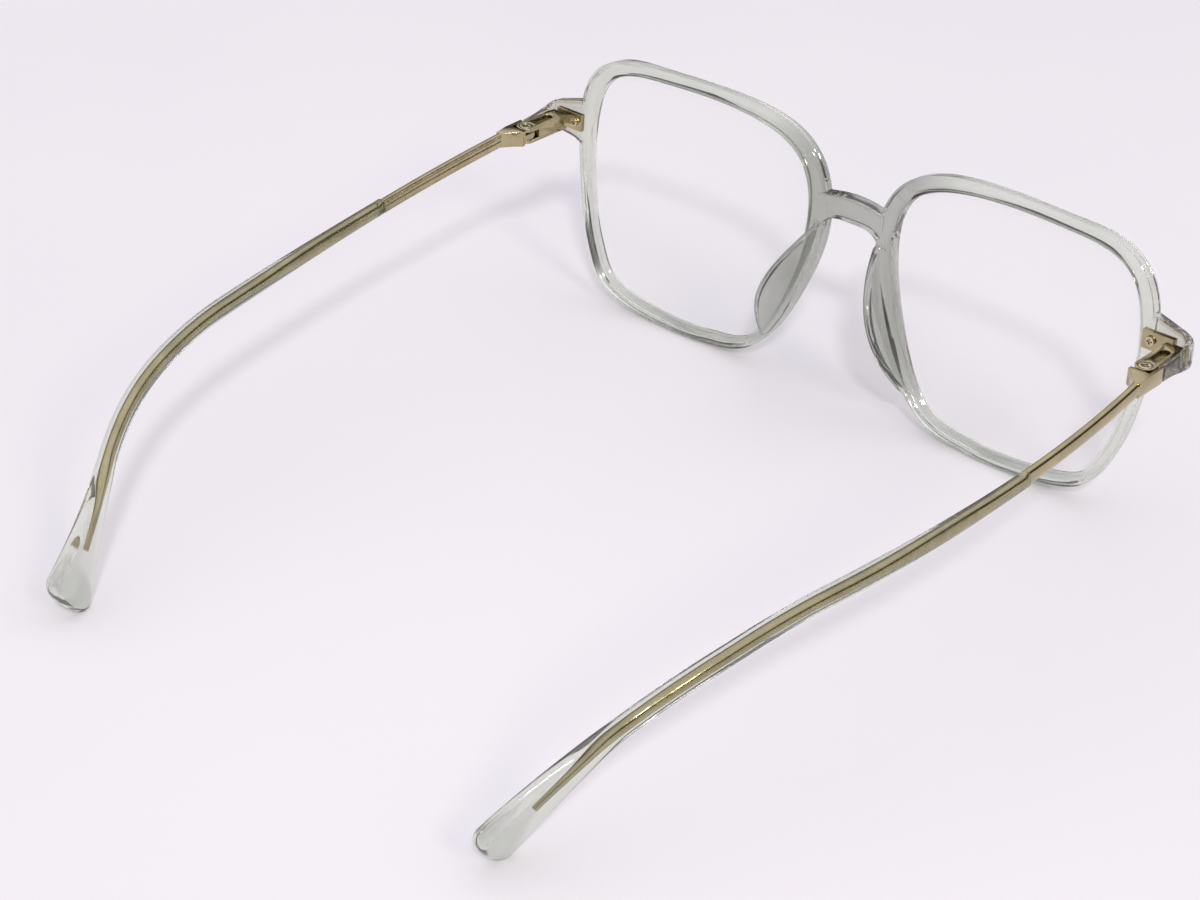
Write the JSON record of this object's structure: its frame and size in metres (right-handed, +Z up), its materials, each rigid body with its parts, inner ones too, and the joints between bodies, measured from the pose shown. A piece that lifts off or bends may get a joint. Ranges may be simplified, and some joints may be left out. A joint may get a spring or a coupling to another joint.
{
  "type": "eyeglasses",
  "caption": "Full-rim eyeglasses with a clear moulded front, integral nose pads, slim metal temples on hinges and clear temple tips.",
  "frame": {"origin": "under the middle of the whole open pair, at the height of the table it stands on", "axes": "+X towards the wearer's right, +Y forwards out of the lenses, +Z up"},
  "size_m": [0.1416, 0.154, 0.0505],
  "materials": {
    "clear_plastic": "polished clear plastic with a faint grey-green tint",
    "lens": "clear lens resin",
    "champagne_metal": "satin champagne plating",
    "screw_metal": "polished",
    "washer": "matt",
    "tip_plastic": "polished clear plastic"
  },
  "bodies": {
    "front": {"front_frame": "clear_plastic", "lens_left": "lens", "lens_right": "lens", "hinge_leaf_left": "champagne_metal", "hinge_leaf_right": "champagne_metal", "leaf_screw_left": "screw_metal", "leaf_screw_right": "screw_metal", "hinge_screw_left": "screw_metal", "hinge_screw_right": "screw_metal", "hinge_washers_left": "washer", "hinge_washers_right": "washer"},
    "temple_left": {"temple_hinge_left": "champagne_metal", "temple_bar_left": "champagne_metal", "temple_tip_left": "tip_plastic"},
    "temple_right": {"temple_hinge_right": "champagne_metal", "temple_bar_right": "champagne_metal", "temple_tip_right": "tip_plastic"}
  },
  "joints": [
    {"name": "temple_left_fold", "type": "hinge", "parent": "front", "child": "temple_left", "pos_m": [-0.06816, 0.06236, 0.03442], "axis": [0, 0, 1], "range_deg": [-2.4, 76]},
    {"name": "temple_right_fold", "type": "hinge", "parent": "front", "child": "temple_right", "pos_m": [0.06744, 0.06236, 0.03442], "axis": [0, 0, -1], "range_deg": [0, 84]}
  ]
}
